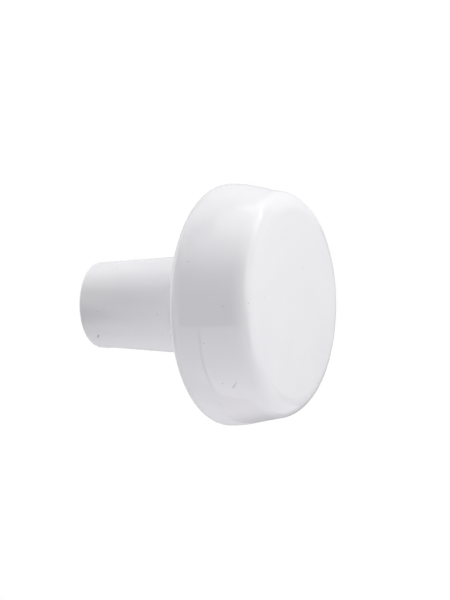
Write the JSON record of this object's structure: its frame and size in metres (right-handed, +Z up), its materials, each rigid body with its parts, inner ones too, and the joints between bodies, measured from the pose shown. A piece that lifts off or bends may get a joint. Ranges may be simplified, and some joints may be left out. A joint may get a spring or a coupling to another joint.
{
  "type": "cabinet knob",
  "caption": "Round glazed porcelain cabinet knob with a flat face and a tapered stem, fixed by a screw into a brass insert in its foot.",
  "frame": {"origin": "centre of the stem's foot, on the face of the door or drawer front that the knob is screwed to", "axes": "-Y along the knob's axis, out of the door towards the knob's face; +Y into the door, along the screw; +Z up"},
  "size_m": [0.035, 0.0324, 0.035],
  "materials": {
    "glazed_porcelain": "white body under a clear high-gloss glaze, bare and matt on the foot and in the socket",
    "insert_brass": "turned, knurled and tapped, left unpolished"
  },
  "bodies": {
    "root": {"knob_body": "glazed_porcelain", "threaded_insert": "insert_brass"}
  },
  "joints": []
}
